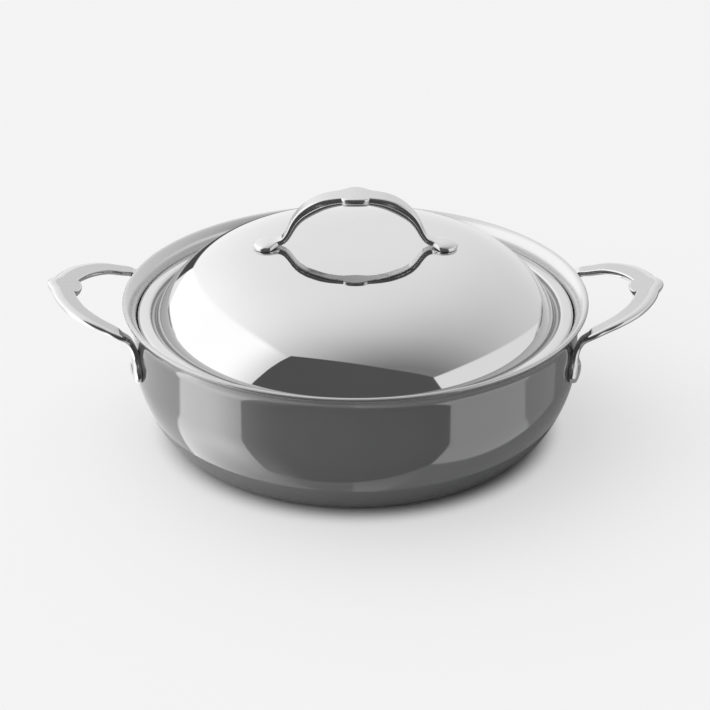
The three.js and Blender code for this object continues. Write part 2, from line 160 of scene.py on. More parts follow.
def lerp(start, end, share):
    return start + (end - start) * share


def clamp(value, low=0.0, high=1.0):
    return min(max(value, low), high)


def smoothstep(value, low, high):
    share = clamp((value - low) / (high - low))
    return share * share * (3 - 2 * share)


def arc(centre, radius, start, end, steps):
    """Points of radius and height on a circle, from one angle to another, in degrees."""
    points = []
    for i in range(steps + 1):
        angle = math.radians(lerp(start, end, i / steps))
        points.append((centre[0] + radius * math.cos(angle), centre[1] + radius * math.sin(angle)))
    return points


def rotation(angle, axis):
    return Matrix.Rotation(angle, 4, axis)


def shift(x, y, z):
    return Matrix.Translation((x * MM, y * MM, z * MM))


# Meshes

def finished(name, builder, materials, body, node):
    """Makes an object of a bmesh, shaded smooth, that rides on a body in the place of a CAD node."""
    mesh = bpy.data.meshes.new(name)
    bmesh.ops.recalc_face_normals(builder, faces=builder.faces)
    builder.to_mesh(mesh)
    builder.free()
    for material in materials:
        mesh.materials.append(material)
    mesh.shade_smooth()
    mesh.set_sharp_from_angle(angle=SHARP_ANGLE)
    piece = bpy.data.objects.new(name, mesh)
    bpy.context.scene.collection.objects.link(piece)
    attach(piece, body)
    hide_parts(node)


def turned(profile, steps=TURN_STEPS):
    """Turns a profile of radius and height, which starts and ends on the axis, round Z."""
    builder = bmesh.new()
    rings = []
    for radius, height in profile:
        if radius < ON_AXIS:
            rings.append([builder.verts.new((0, 0, height * MM))] * steps)
            continue
        ring = []
        for k in range(steps):
            angle = 2 * math.pi * k / steps
            place = (radius * math.cos(angle), radius * math.sin(angle), height)
            ring.append(builder.verts.new([v * MM for v in place]))
        rings.append(ring)
    for lower, upper in zip(rings, rings[1:]):
        for k in range(steps):
            after = (k + 1) % steps
            corners = [lower[k], lower[after], upper[after], upper[k]]
            builder.faces.new(list(dict.fromkeys(corners)))
    return builder


def lofted(rings, tips, satin_from):
    """Joins rings of points and closes both ends. The flat face takes the second material where the rings
    are further from a foot's tip than satin_from."""
    builder = bmesh.new()
    made = [[builder.verts.new([v * MM for v in point]) for point in ring] for ring in rings]
    count = len(made[0])
    first, last = FLAT_EDGES
    for before, after, tip in zip(made, made[1:], tips):
        for k in range(count):
            other = (k + 1) % count
            face = builder.faces.new([before[k], before[other], after[other], after[k]])
            face.material_index = int(first <= k < last and tip > satin_from)
    builder.faces.new(made[0])
    builder.faces.new(made[-1])
    return builder


def placed(builder, matrix):
    bmesh.ops.transform(builder, matrix=matrix, verts=builder.verts)
    return builder


# Pot layers

def bowl_point(share):
    reach = WALL_RADIUS - BASE_RADIUS
    handles = [
        (BASE_RADIUS, 0),
        (BASE_RADIUS + BOWL_FULLNESS * reach, 0),
        (WALL_RADIUS, BOWL_HEIGHT * (1 - BOWL_FULLNESS)),
        (WALL_RADIUS, BOWL_HEIGHT),
    ]
    weights = [(1 - share) ** 3, 3 * (1 - share) ** 2 * share, 3 * (1 - share) * share ** 2, share ** 3]
    return [sum(w * h[k] for w, h in zip(weights, handles)) for k in (0, 1)]


def bowl_side(depth):
    """The bowl's curve, moved inwards by a depth."""
    points = []
    step = 1e-4
    for i in range(BOWL_STEPS + 1):
        share = i / BOWL_STEPS
        before = bowl_point(max(0, share - step))
        after = bowl_point(min(1, share + step))
        along = (after[0] - before[0], after[1] - before[1])
        length = math.hypot(*along)
        radius, height = bowl_point(share)
        points.append((radius - along[1] / length * depth, height + along[0] / length * depth))
    return points


def pot_side(depth):
    """The pot's side from the base's edge to the end of the flare, at a depth inside the outer surface."""
    centre = (WALL_RADIUS + FLARE_RADIUS, FLARE_START)
    end = 180 - math.degrees(FLARE_ANGLE)
    return bowl_side(depth) + arc(centre, FLARE_RADIUS + depth, 180, end, FLARE_STEPS)


def lip_end(depth):
    """A point of the lip's rounded end, at a depth inside the outer surface."""
    half = SHEET_THICKNESS / 2
    reach = LIP_ROUND * math.sqrt(max(0, half * half - (depth - half) ** 2))
    radius, height = pot_side(depth)[-1]
    return (radius + math.sin(FLARE_ANGLE) * reach, height + math.cos(FLARE_ANGLE) * reach)


def pot_layer(outer, inner):
    """Profile of a layer between two depths."""
    lip = [lip_end(lerp(outer, inner, i / LIP_STEPS)) for i in range(LIP_STEPS + 1)]
    return [(0, outer), *pot_side(outer), *lip, *pot_side(inner)[::-1], (0, inner)]


# Lid sheet

def dome_height(radius):
    share = max(0, 1 - (radius / DOME_RADIUS) ** DOME_FLATNESS)
    return DOME_FOOT + DOME_RISE * share ** DOME_SHOULDER


def lid_upper_side():
    """The lid's upper side from its apex to the bottom of its turned-down edge."""
    points = []
    for i in range(DOME_STEPS + 1):
        radius = DOME_RADIUS * math.sin(math.pi / 2 * i / DOME_STEPS)
        points.append((radius, dome_height(radius)))
    groove_end = DOME_RADIUS + 2 * GROOVE_RADIUS
    points += arc((DOME_RADIUS + GROOVE_RADIUS, DOME_FOOT), GROOVE_RADIUS, -180, 0, GROOVE_STEPS)
    points += arc((groove_end + FLANGE_ROUND, DOME_FOOT), FLANGE_ROUND, 180, 90, ROUND_STEPS)[1:]
    edge_centre = (LID_RADIUS - LID_EDGE_ROUND, FLANGE_HEIGHT - LID_EDGE_ROUND)
    points += arc(edge_centre, LID_EDGE_ROUND, 90, 0, ROUND_STEPS)
    return points


def under_side(profile):
    """Moves each point of a profile to its right by the sheet's thickness."""
    moved = []
    for i, (radius, height) in enumerate(profile):
        before = profile[max(0, i - 1)]
        after = profile[min(len(profile) - 1, i + 1)]
        along = (after[0] - before[0], after[1] - before[1])
        length = math.hypot(*along)
        outward = along[1] / length * LID_THICKNESS
        downward = along[0] / length * LID_THICKNESS
        moved.append((radius + outward, height - downward))
    moved[0] = (0, moved[0][1])
    return moved


def lid_profile():
    upper = lid_upper_side()
    return upper + under_side(upper)[::-1]


# Straps with drop-shaped feet

def eased_path(points):
    """A smooth curve through points, as evenly spaced samples with its bends eased."""
    ends = [2 * points[0] - points[1], *points, 2 * points[-1] - points[-2]]
    curve = []
    for before, start, end, after in zip(ends, ends[1:], ends[2:], ends[3:]):
        first, middle, last = [math.sqrt(np.linalg.norm(b - a)) for a, b in
                               ((before, start), (start, end), (end, after))]
        leave = (start - before) / first - (end - before) / (first + middle) + (end - start) / middle
        arrive = (end - start) / middle - (after - start) / (middle + last) + (after - end) / last
        for i in range(SPAN_STEPS):
            t = i / SPAN_STEPS
            curve.append(start + leave * middle * t
                         + (3 * (end - start) - (2 * leave + arrive) * middle) * t ** 2
                         + (2 * (start - end) + (leave + arrive) * middle) * t ** 3)
    curve.append(points[-1])
    curve = evenly_spaced(np.array(curve))
    spacing = np.linalg.norm(curve[1] - curve[0])
    for _ in range(int(2 * (PATH_BLEND / spacing) ** 2)):
        curve[1:-1] = (curve[:-2] + 2 * curve[1:-1] + curve[2:]) / 4
    return evenly_spaced(curve)


def evenly_spaced(curve):
    lengths = np.concatenate([[0], np.cumsum(np.linalg.norm(np.diff(curve, axis=0), axis=1))])
    wanted = np.linspace(0, lengths[-1], PATH_SAMPLES + 1)
    return np.stack([np.interp(wanted, lengths, curve[:, k]) for k in range(3)], axis=1)


def mirrored(half_points, mirror):
    """Points of one half, from a foot's tip to the middle, and their mirror images."""
    return half_points + [point * mirror for point in half_points[-2::-1]]


def strap_stations(half, strap):
    """Distances along half a strap, from a foot's tip to the middle."""
    foot = strap["foot_radius"]
    lobe = strap["inner_lobe"][0]
    stations = [foot * (1 - math.cos(math.pi / 2 * i / FOOT_STEPS)) for i in range(1, FOOT_STEPS + 1)]
    stations += [lerp(foot, half - lobe, i / ARM_STEPS) for i in range(1, ARM_STEPS + 1)]
    stations += [half - lobe * math.cos(math.pi / 2 * i / LOBE_STEPS) for i in range(1, LOBE_STEPS + 1)]
    return stations


def strap_thickness(distance, half, strap, neck, grip):
    """Thickness at a distance from a foot's tip. neck and grip are shares of the change to each."""
    foot_radius = strap["foot_radius"]
    tip_rise = math.sqrt(1 - (1 - min(distance, foot_radius) / foot_radius) ** 2)
    foot = strap["foot_thickness"] * lerp(strap["tip_thickness"], 1, tip_rise)
    haunch_at, haunch_half, haunch_extra = strap["haunch"]
    from_haunch = clamp((half - distance - haunch_at) / haunch_half, -1, 1)
    thickness = lerp(lerp(foot, strap["neck_thickness"], neck), strap["grip_thickness"], grip)
    return thickness + haunch_extra * (1 + math.cos(math.pi * from_haunch)) / 2


def strap_size(distance, half, strap):
    """How far a strap reaches to each side of its path, its edges, its bellies and its thickness."""
    foot_radius, neck_at = strap["foot_radius"], strap["neck_at"]
    (inner_half, inner_depth), (outer_half, outer_depth) = strap["inner_lobe"], strap["outer_lobe"]
    neck = smoothstep(distance, foot_radius, neck_at)
    grip = smoothstep(distance, neck_at, half - inner_half)
    thickness = strap_thickness(distance, half, strap, neck, grip)

    round_part = min(distance, foot_radius)
    foot = math.sqrt(round_part * (2 * foot_radius - round_part))
    arm_width = lerp(foot, strap["neck_width"] / 2, neck)
    inner_swell = math.sqrt(1 - clamp((half - distance) / inner_half) ** 2)
    outer_swell = (1 + math.cos(math.pi * clamp((half - distance) / outer_half))) / 2
    inner = lerp(arm_width, strap["grip_inner"], grip) + inner_depth * inner_swell
    outer = lerp(arm_width, strap["grip_outer"], grip) + outer_depth * outer_swell

    edge = strap["edge_round"] * thickness
    (foot_across, foot_deep), (grip_across, grip_deep) = strap["foot_edge"], strap["grip_edge"]
    edge_across = lerp(min(foot_across, TIP_EDGE * arm_width), edge, neck)
    edge_deep = lerp(foot_deep * thickness, edge, neck)
    outer_edge = (lerp(edge_across, grip_across, grip), lerp(edge_deep, grip_deep * thickness, grip))

    arm, middle = strap["arm_belly"], strap["grip_belly"]
    outer_belly = lerp(middle, arm, smoothstep(half - distance, 0, strap["outer_grip"]))
    belly_deep = lerp(*strap["belly_deep"], neck) * thickness
    room = (1 - WALL_SHARE) * thickness
    return {
        "inner": inner,
        "outer": outer,
        "inner_edge": (edge_across, edge_deep),
        "outer_edge": outer_edge,
        "inner_belly": (lerp(arm, middle, inner_swell) * inner, min(belly_deep, room - edge_deep)),
        "outer_belly": (outer_belly * outer, min(belly_deep, room - outer_edge[1])),
        "ridge": strap["ridge"] * smoothstep(distance, neck_at, neck_at + RIDGE_FADE),
        "thickness": thickness,
    }


def section_corners(size):
    """The four rounded corners of a strap's section, each as a list of points."""
    half = size["thickness"] / 2
    corners = [
        (size["inner"], 1, *size["inner_edge"]),
        (-size["outer"], 1, *size["outer_edge"]),
        (-size["outer"], -1, *size["outer_belly"]),
        (size["inner"], -1, *size["inner_belly"]),
    ]
    arcs = []
    for quarter, (sideways, upward, across, depth) in enumerate(corners):
        points = []
        for i in range(CORNER_STEPS + 1):
            angle = math.pi / 2 * (quarter + i / CORNER_STEPS)
            points.append((sideways - math.copysign(across, sideways) + across * math.cos(angle),
                           upward * (half - depth) + depth * math.sin(angle)))
        arcs.append(points)
    return arcs


def strap_section(size):
    """Outline of a strap's section: a flat face with rounded edges over a belly, with a parting line on
    its outer and inner side."""
    ridge = size["ridge"]
    spans = [
        (FACE_SHARES, None, 0),
        (SIDE_SHARES, 1 - RIDGE_AT, -ridge),
        (BELLY_SHARES, None, 0),
        (SIDE_SHARES, RIDGE_AT, ridge),
    ]
    arcs = section_corners(size)
    outline = []
    for quarter, (shares, ridge_at, height) in enumerate(spans):
        outline += arcs[quarter]
        start, end = arcs[quarter][-1], arcs[(quarter + 1) % len(arcs)][0]
        for share in shares:
            out = height if share == ridge_at else 0
            outline.append((lerp(start[0], end[0], share) + out, lerp(start[1], end[1], share)))
    return outline


def strap_rings(points, strap, face_at, settle):
    """Rings of points along a strap, and each one's distance from the nearer foot's tip. face_at gives the
    way that the flat face looks, at a share of the path's length, and settle moves a point onto what the
    strap stands on."""
    path = eased_path(points)
    length = np.sum(np.linalg.norm(np.diff(path, axis=0), axis=1))
    first_half = strap_stations(length / 2, strap)
    stations = first_half + [length - distance for distance in first_half[-2::-1]]
    rings = []
    tips = []
    for distance in stations:
        share = distance / length
        at = share * PATH_SAMPLES
        k = int(clamp(at, 1, PATH_SAMPLES - 1))
        tangent = path[k + 1] - path[k - 1]
        tangent /= np.linalg.norm(tangent)
        place = np.array([np.interp(at, (k - 1, k, k + 1), path[k - 1:k + 2, axis]) for axis in range(3)])
        face = face_at(share, length)
        face = face - tangent * np.dot(face, tangent)
        face /= np.linalg.norm(face)
        across = np.cross(tangent, face)
        tip = min(distance, length - distance)
        size = strap_size(tip, length / 2, strap)
        middle = place + face * strap["lift"] * size["thickness"]
        rings.append([settle(middle + across * x + face * y, tip) for x, y in strap_section(size)])
        tips.append(tip)
    return rings, tips


# Lines of the side handles

def on_bearing(radius, height):
    return np.array([radius * math.cos(FOOT_BEARING), radius * math.sin(FOOT_BEARING), height])


def side_handle_points():
    """The flat face's line: up the wall from a foot's tip, round the neck and along the tilted loop."""
    def grip(inset, sideways, sag=0):
        return np.array([GRIP_REACH - inset, sideways, GRIP_HEIGHT - inset * math.tan(GRIP_TILT) - sag])

    arm_start = grip(39.4, 48.2, ARM_SAG)
    bend_reach = math.hypot(arm_start[0], arm_start[1]) - WALL_RADIUS
    bend_rise = arm_start[2] - NECK_HEIGHT
    return mirrored([
        on_bearing(WALL_RADIUS, FOOT_BOTTOM),
        on_bearing(WALL_RADIUS, (FOOT_BOTTOM + NECK_HEIGHT) / 2),
        on_bearing(WALL_RADIUS, NECK_HEIGHT),
        on_bearing(WALL_RADIUS + bend_reach * BEND_MIDDLE[0], NECK_HEIGHT + bend_rise * BEND_MIDDLE[1]),
        arm_start,
        grip(32.3, 45.1, ARM_SAG / 2),
        grip(22.4, 40.8),
        grip(12.4, 31.8),
        grip(5.6, 21),
        grip(1.2, 9),
        grip(0, 0),
    ], np.array([1, -1, 1]))


def side_face(share, length):
    """The flat face looks at the wall on a foot, and up along the loop."""
    from_end = min(share, 1 - share) * length / (NECK_HEIGHT - FOOT_BOTTOM)
    side = 1 if share < 0.5 else -1
    inward = np.array([-math.cos(FOOT_BEARING), -side * math.sin(FOOT_BEARING), 0])
    upward = np.array([-math.sin(GRIP_TILT), 0, math.cos(GRIP_TILT)])
    return lerp(inward, upward, smoothstep(from_end, *FACE_TURN))


def clear_of_wall(point, tip):
    """Keeps a point of a foot off the pot's wall."""
    radius = math.hypot(point[0], point[1])
    seat = WALL_RADIUS + SNUG
    if radius < seat and point[2] < FLARE_START:
        point[:2] *= seat / radius
    return point


# Lines of the lid handle

def lid_handle_points():
    """The under side's line: in along the dome from a foot's tip, then up and over the arch."""
    def standing(reach):
        return np.array([-reach, 0, dome_height(reach) + CLEARANCE])

    def rising(reach, drop):
        return np.array([-reach, 0, ARCH_HEIGHT - drop])

    foot = LID_STRAP["foot_radius"]
    return mirrored([
        standing(LID_FOOT_REACH),
        standing(LID_FOOT_REACH - 0.5 * foot),
        standing(LID_RIVET_REACH),
        standing(LID_FOOT_REACH - 1.5 * foot),
        rising(44.4, 27.6),
        rising(40.6, 22.3),
        rising(37.8, 17.2),
        rising(33.6, 12.3),
        rising(25, 6.7),
        rising(15.5, 2.4),
        rising(0, 0),
    ], np.array([-1, 1, 1]))


def lid_face(share, length):
    """The flat face looks up all along the arch."""
    return np.array([0.0, 0.0, 1.0])


def onto_dome(point, tip):
    """Bends a foot down to the dome on both sides of its middle line, and closes the gap under it."""
    on_foot = 1 - smoothstep(tip, LID_STRAP["foot_radius"], LID_STRAP["neck_at"])
    fall = dome_height(abs(point[0])) - dome_height(math.hypot(point[0], point[1]))
    point[2] -= on_foot * (fall + CLEARANCE - SNUG)
    return point


# Node graphs

class Graph:
    """Short ways to add and link shader nodes."""

    def __init__(self, tree):
        self.tree = tree
        tree.nodes.clear()

    def node(self, kind, **settings):
        made = self.tree.nodes.new(kind)
        for name, value in settings.items():
            setattr(made, name, value)
        return made

    def put(self, value, socket):
        """Links a socket, or sets a plain value."""
        if isinstance(value, bpy.types.NodeSocket):
            self.tree.links.new(value, socket)
        else:
            socket.default_value = value

    def math(self, operation, *values):
        made = self.node("ShaderNodeMath", operation=operation)
        for value, socket in zip(values, made.inputs):
            self.put(value, socket)
        return made.outputs[0]

    def step(self, value, low, high, start=0.0, end=1.0):
        """A smooth step from one value to another as the input goes from low to high."""
        made = self.node("ShaderNodeMapRange", interpolation_type="SMOOTHSTEP")
        for given, socket in zip((value, low, high, start, end), made.inputs):
            self.put(given, socket)
        return made.outputs[0]

    def mix(self, share, start, end):
        """Start where the share is 0, end where it is 1, for plain numbers."""
        made = self.node("ShaderNodeMix", data_type="FLOAT")
        for given, socket in zip((share, start, end), made.inputs[:1] + made.inputs[2:4]):
            self.put(given, socket)
        return made.outputs[0]

    def background(self, strength):
        """Plain white light of a strength."""
        made = self.node("ShaderNodeBackground")
        made.inputs["Color"].default_value = (1, 1, 1, 1)
        self.put(strength, made.inputs["Strength"])
        return made.outputs[0]

    def choose(self, share, start, end):
        """Start where the share is 0, end where it is 1, for shaders."""
        made = self.node("ShaderNodeMixShader")
        for given, socket in zip((share, start, end), made.inputs):
            self.put(given, socket)
        return made.outputs[0]

    def place(self, kind="Object"):
        """The three coordinates of a kind."""
        parts = self.node("ShaderNodeSeparateXYZ")
        self.put(self.node("ShaderNodeTexCoord").outputs[kind], parts.inputs[0])
        return parts.outputs

    def radius_and_height(self):
        """Distance from the object's Z axis and height, in metres."""
        x, y, z = self.place()
        squares = self.math("ADD", self.math("POWER", x, 2), self.math("POWER", y, 2))
        return self.math("SQRT", squares), z

    def noise(self, scale, detail, stretch=(1, 1, 1)):
        """Noise over the object's own coordinates, in metres, from about 0 to 1."""
        mapping = self.node("ShaderNodeMapping")
        mapping.inputs["Scale"].default_value = stretch
        self.put(self.node("ShaderNodeTexCoord").outputs["Object"], mapping.inputs["Vector"])
        made = self.node("ShaderNodeTexNoise")
        self.put(mapping.outputs[0], made.inputs["Vector"])
        made.inputs["Scale"].default_value = scale
        made.inputs["Detail"].default_value = detail
        return made.outputs[0]

    def ring_noise(self, scale, detail):
        """Noise in rings round the object's Z axis, as turning or spinning leaves."""
        made = self.node("ShaderNodeTexNoise", noise_dimensions="1D")
        self.put(self.math("ADD", *self.radius_and_height()), made.inputs["W"])
        made.inputs["Scale"].default_value = scale
        made.inputs["Detail"].default_value = detail
        return made.outputs[0]


# Parts of a finish

NOISE_SPAN = (0.3, 0.7)  # most of a noise's values lie in it


def grey(value):
    return (value, value, value)


def surface(name, color, metallic, roughness, ior=1.5):
    """A material with one shader, and its graph for what varies over the surface."""
    material = bpy.data.materials.new(name)
    material.use_nodes = True
    graph = Graph(material.node_tree)
    shader = graph.node("ShaderNodeBsdfPrincipled")
    out = graph.node("ShaderNodeOutputMaterial")
    graph.put(shader.outputs[0], out.inputs["Surface"])
    shader.inputs["Base Color"].default_value = (*color, 1)
    shader.inputs["Metallic"].default_value = metallic
    shader.inputs["Roughness"].default_value = roughness
    shader.inputs["IOR"].default_value = ior
    return material, graph, shader


def vary_color(graph, shader, share, dark, light):
    """Mixes two tones of the surface by a varying share."""
    mixed = graph.node("ShaderNodeMix", data_type="RGBA")
    graph.put(share, mixed.inputs["Factor"])
    mixed.inputs["A"].default_value = (*dark, 1)
    mixed.inputs["B"].default_value = (*light, 1)
    graph.put(mixed.outputs["Result"], shader.inputs["Base Color"])


def vary_roughness(graph, shader, noise, smooth, rough):
    graph.put(graph.step(noise, *NOISE_SPAN, smooth, rough), shader.inputs["Roughness"])


def bump(graph, shader, height, strength, distance):
    made = graph.node("ShaderNodeBump")
    made.inputs["Strength"].default_value = strength
    made.inputs["Distance"].default_value = distance
    graph.put(height, made.inputs["Height"])
    graph.put(made.outputs[0], shader.inputs["Normal"])


# Finishes

# Painted shade: the groove round the lid's dome takes a darker tone of its steel
GROOVE_SHADE_TONE = grey(0.36)
GROOVE_SOFT = 0.5 * MM  # half the width over which the lid's polish fades into the painted shade of its groove
LID_CLOUD = 0.93  # share of the lid's polish that is left where its clouds are darkest
GRAIN_TONE = 0.015  # how far the grain of a satin face goes from its tone
BRUSHING = (1, 0.12, 1)  # stretches the grain of a satin face along Y


def dark_skin():
    """Glossy graphite-grey outside, with a faint cloudiness in its tone and gloss."""
    tone = grey(0.13)
    material, graph, shader = surface("dark_graphite_skin", tone, metallic=0.0, roughness=0.06, ior=2.1)
    cloud = graph.noise(scale=14, detail=3)
    vary_color(graph, shader, cloud, dark=(0.126, 0.126, 0.128), light=(0.138, 0.138, 0.139))
    vary_roughness(graph, shader, graph.noise(scale=60, detail=4), smooth=0.045, rough=0.075)
    return material


def outside_groove(graph):
    """1 on the lid's polished parts, 0 in the groove round its dome, where shade is painted."""
    radius = graph.radius_and_height()[0]
    start, end = DOME_RADIUS * MM, (DOME_RADIUS + 2 * GROOVE_RADIUS) * MM
    dome = graph.step(radius, start - GROOVE_SOFT, start + GROOVE_SOFT, 1.0, 0.0)
    flange = graph.step(radius, end - GROOVE_SOFT, end + GROOVE_SOFT)
    return graph.math("MAXIMUM", dome, flange)


def mirror_steel():
    """Polished lid sheet: a mirror with faint clouds and rings of polishing, and painted shade darkening
    the groove.
    """
    material, graph, shader = surface("mirror_polished_steel", grey(0.64), metallic=1.0, roughness=0.03)
    cloud = graph.noise(scale=9, detail=3)
    polish_and_groove_shade = graph.math("MULTIPLY", outside_groove(graph), graph.step(cloud, *NOISE_SPAN, LID_CLOUD, 1.0))
    # Darker in the groove as painted shade; the clouds are a random tone
    vary_color(graph, shader, polish_and_groove_shade, dark=GROOVE_SHADE_TONE, light=grey(0.65))
    vary_roughness(graph, shader, cloud, smooth=0.02, rough=0.045)
    bump(graph, shader, graph.ring_noise(scale=900, detail=2), strength=0.02, distance=0.0002)
    return material


def brushed_liner():
    """Bright steel inside and lip, with fine circular brushing."""
    material, graph, shader = surface("brushed_liner_steel", grey(0.58), metallic=1.0, roughness=0.2)
    rings = graph.ring_noise(scale=2600, detail=3)
    vary_color(graph, shader, rings, dark=grey(0.56), light=grey(0.6))
    vary_roughness(graph, shader, rings, smooth=0.15, rough=0.24)
    bump(graph, shader, rings, strength=0.05, distance=0.0001)
    return material


def polished_casting():
    """Polished sides and edges of the handles, with the slight unevenness of a casting."""
    material, graph, shader = surface("polished_handle_steel", grey(0.64), metallic=1.0, roughness=0.1)
    vary_color(graph, shader, graph.noise(scale=40, detail=3), dark=grey(0.625), light=grey(0.655))
    vary_roughness(graph, shader, graph.noise(scale=120, detail=4), smooth=0.06, rough=0.14)
    bump(graph, shader, graph.noise(scale=90, detail=2), strength=0.04, distance=0.0004)
    return material


def satin_casting(name, tone):
    """Satin flat face of a handle, with a fine grain along Y."""
    material, graph, shader = surface(name, grey(tone), metallic=1.0, roughness=0.3)
    grain = graph.noise(scale=500, detail=4, stretch=BRUSHING)
    vary_color(graph, shader, grain, dark=grey(tone - GRAIN_TONE), light=grey(tone + GRAIN_TONE))
    vary_roughness(graph, shader, grain, smooth=0.26, rough=0.34)
    bump(graph, shader, grain, strength=0.02, distance=0.0001)
    return material


def rivet_steel():
    """Finely grained steel of the rivets."""
    material, graph, shader = surface("satin_rivet_steel", grey(0.62), metallic=1.0, roughness=0.25)
    grain = graph.noise(scale=700, detail=3)
    vary_color(graph, shader, grain, dark=grey(0.6), light=grey(0.64))
    vary_roughness(graph, shader, grain, smooth=0.2, rough=0.3)
    return material


def core_aluminium():
    """Dull core of the clad sheet, with turned rings where its edge shows."""
    material, graph, shader = surface("core_aluminium", grey(0.55), metallic=1.0, roughness=0.4)
    rings = graph.ring_noise(scale=1500, detail=3)
    vary_color(graph, shader, rings, dark=grey(0.53), light=grey(0.58))
    vary_roughness(graph, shader, rings, smooth=0.35, rough=0.45)
    return material


SKIN = dark_skin()
LID_STEEL = mirror_steel()
LINER = brushed_liner()
POLISHED = polished_casting()
# One satin steel in two tones, as painted light and shade: lighter on the lid handle, darker on the side
# handles
SATIN = satin_casting("satin_handle_steel", tone=0.53)
LID_SATIN_PAINTED_LIGHTER = satin_casting("satin_lid_handle_steel_painted_lighter", tone=0.6)
RIVET = rivet_steel()
CORE = core_aluminium()


# Pieces

def wall_rivet():
    """A rivet along +Z from its head, flush with the liner, to its end, flush with the foot."""
    start = WALL_RADIUS - SHEET_THICKNESS
    end = WALL_RADIUS + SIDE_STRAP["foot_thickness"]
    crown = [(RIVET_HEAD_RADIUS * math.sin(a), start - RIVET_CROWN * math.cos(a) ** 2)
             for a in QUARTER_TURN]
    tail = [(RIVET_RADIUS * math.cos(a), end + RIVET_CROWN * math.sin(a) ** 2)
            for a in QUARTER_TURN]
    head_back = start + SHEET_THICKNESS / 2
    return turned([*crown, (RIVET_RADIUS, head_back), *tail], RIVET_STEPS)


def lid_rivet():
    """A rivet along +Z, standing on the sheet's upper side, with a low domed head below the sheet."""
    seat = -LID_THICKNESS - SNUG
    head = [(LID_RIVET_HEAD_RADIUS * math.sin(a), seat - LID_RIVET_HEAD_DEPTH * math.cos(a))
            for a in QUARTER_TURN]
    shank = [(LID_RIVET_RADIUS, seat), (LID_RIVET_RADIUS, LID_RIVET_DEPTH), (0, LID_RIVET_DEPTH)]
    return turned([*head, *shank], RIVET_STEPS)


def build_pot():
    core_depth = SKIN_THICKNESS + BOND_GAP
    liner_depth = core_depth + CORE_THICKNESS + BOND_GAP
    layers = [
        ("pot_skin", "pot_outer_shell", 0, SKIN_THICKNESS, SKIN, "dark_skin"),
        ("pot_core", "pot_aluminium_core", core_depth, core_depth + CORE_THICKNESS, CORE, "core"),
        ("pot_liner", "pot_inner_liner", liner_depth, SHEET_THICKNESS, LINER, "liner"),
    ]
    for name, node, outer, inner, material, slot in layers:
        finished(name, turned(pot_layer(outer, inner)), [material], "pot", node)


def build_side_handles():
    """Each handle with its two rivets. The left one is turned, so its first rivet is in front."""
    rings, tips = strap_rings(side_handle_points(), SIDE_STRAP, side_face, clear_of_wall)
    for side, turn, rivets in (("right", 0, ("back", "front")), ("left", math.pi, ("front", "back"))):
        handle = placed(lofted(rings, tips, SIDE_STRAP["satin_from"]), rotation(turn, "Z"))
        node = f"{side}_side_handle"
        finished(f"{side}_handle", handle, [POLISHED, SATIN], "pot", node)
        for place, end in zip(rivets, (1, -1)):
            stand = rotation(turn + end * FOOT_BEARING, "Z") @ shift(0, 0, RIVET_HEIGHT)
            rivet = placed(wall_rivet(), stand @ rotation(math.pi / 2, "Y"))
            node = f"{side}_{place}_rivet"
            finished(f"{node}_end", rivet, [RIVET], "pot", node)


def build_lid():
    finished("lid_dome", turned(lid_profile()), [LID_STEEL], "lid", "lid_cover")
    rings, tips = strap_rings(lid_handle_points(), LID_STRAP, lid_face, onto_dome)
    arch = lofted(rings, tips, LID_STRAP["satin_from"])
    finished("lid_arch", arch, [POLISHED, LID_SATIN_PAINTED_LIGHTER], "lid", "lid_handle")
    step = 0.5
    fall = dome_height(LID_RIVET_REACH - step) - dome_height(LID_RIVET_REACH + step)
    slope = math.atan2(fall, 2 * step)
    for name, side in (("right", 1), ("left", -1)):
        stand = shift(side * LID_RIVET_REACH, 0, dome_height(LID_RIVET_REACH))
        rivet = placed(lid_rivet(), stand @ rotation(side * slope, "Y"))
        node = f"lid_handle_{name}_rivet"
        finished(f"{node}_head", rivet, [RIVET], "lid", node)


# Floor, in metres

NEAR_FLOOR = 0.138  # radius of the part round the base, the only one that the pot mirrors
FLOOR_MIDDLE = 0.01
FLOOR_REACH = 15
FLOOR_STEPS = 96
FLOOR_TONE = 0.9
FLOOR_ROUGHNESS = 0.9
MIRRORED_SHADOW_TONE = 0.42  # painted shadow: tone of the right half of that part as the pot mirrors it, plain again at its left end
FLOOR_GLOW = 0.6  # share of the floor's look that is its plain tone, without shade, away from the pot
GLOW_START = 0.118
GLOW_FULL = 0.138


def floor_ring(name, inner, outer, material, filled=False):
    builder = bmesh.new()
    rings = []
    for radius in (inner, outer):
        angles = [2 * math.pi * k / FLOOR_STEPS for k in range(FLOOR_STEPS)]
        rings.append([builder.verts.new((radius * math.cos(a), radius * math.sin(a), 0)) for a in angles])
    for k in range(FLOOR_STEPS):
        after = (k + 1) % FLOOR_STEPS
        builder.faces.new([rings[0][k], rings[1][k], rings[1][after], rings[0][after]])
    if filled:
        builder.faces.new(rings[0])
    mesh = bpy.data.meshes.new(name)
    builder.to_mesh(mesh)
    builder.free()
    mesh.materials.append(material)
    floor = bpy.data.objects.new(name, mesh)
    bpy.context.scene.collection.objects.link(floor)
    return floor


